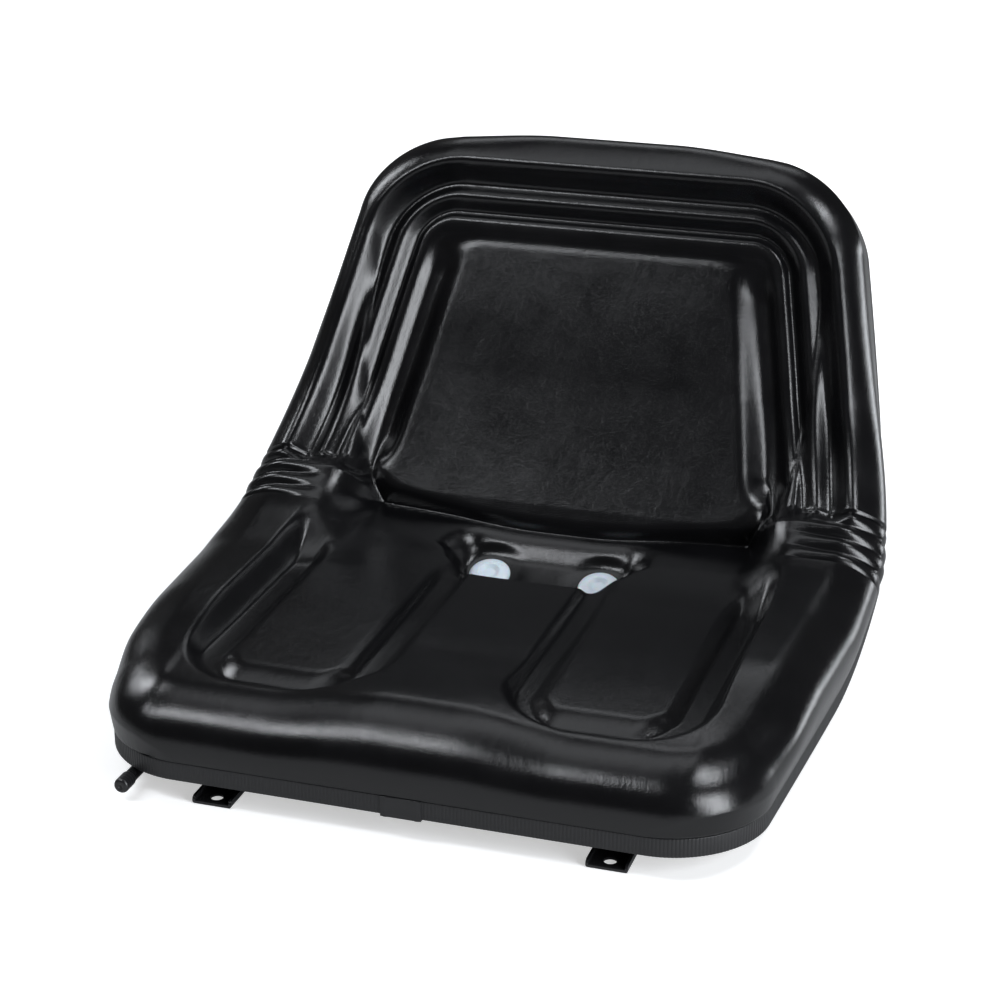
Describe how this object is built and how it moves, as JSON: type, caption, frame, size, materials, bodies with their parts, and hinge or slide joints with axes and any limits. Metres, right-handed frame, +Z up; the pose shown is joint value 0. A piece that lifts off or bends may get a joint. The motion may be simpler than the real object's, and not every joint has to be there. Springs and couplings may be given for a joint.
{
  "type": "tractor seat",
  "caption": "One-piece black vinyl bucket seat with thigh pockets, a pillow panel in the back, ribbed edge trim and drain plugs, on a pair of locking slide rails.",
  "frame": {"origin": "centre of the four floor bolt holes, on the undersides of the lower rails", "axes": "+Z up, the seat faces -Y, +X to the right of someone looking at its front"},
  "size_m": [0.5266, 0.5776, 0.3648],
  "materials": {
    "vinyl": "semi-gloss black vinyl with a fine grain",
    "pan_paint": "black painted sheet steel",
    "trim_rubber": "finely ribbed dark rubber",
    "clip_plastic": "smooth dark plastic",
    "plug_plastic": "milky natural plastic",
    "rail_paint": "gloss black paint",
    "glide_plastic": "natural nylon",
    "zinc_steel": "zinc plated",
    "cap_plastic": "black moulded cap"
  },
  "bodies": {
    "base": {"lower_rail_left": "rail_paint", "lower_rail_right": "rail_paint"},
    "seat": {"cushion": "vinyl", "seat_pan": "pan_paint", "edge_trim": "trim_rubber", "trim_joint_clip": "clip_plastic", "drain_plug_left": "plug_plastic", "drain_plug_right": "plug_plastic", "upper_rail_left": "rail_paint", "upper_rail_right": "rail_paint", "rail_glides_left": "glide_plastic", "rail_glides_right": "glide_plastic", "pan_studs": "zinc_steel", "stud_washers": "zinc_steel", "stud_nuts": "zinc_steel", "latch_bracket": "rail_paint", "bracket_rivets": "zinc_steel", "lever_pivot_pin": "zinc_steel"},
    "lever": {"lock_lever": "rail_paint", "lever_cap": "cap_plastic"}
  },
  "joints": [
    {"name": "seat_slide", "type": "slide", "parent": "base", "child": "seat", "axis": [0, 1, 0], "range_m": [-0.05, 0.05]},
    {"name": "lever_swing", "type": "hinge", "parent": "seat", "child": "lever", "pos_m": [-0.176, -0.02, 0.012], "axis": [0, 0, -1], "range_deg": [-4, 10]}
  ]
}
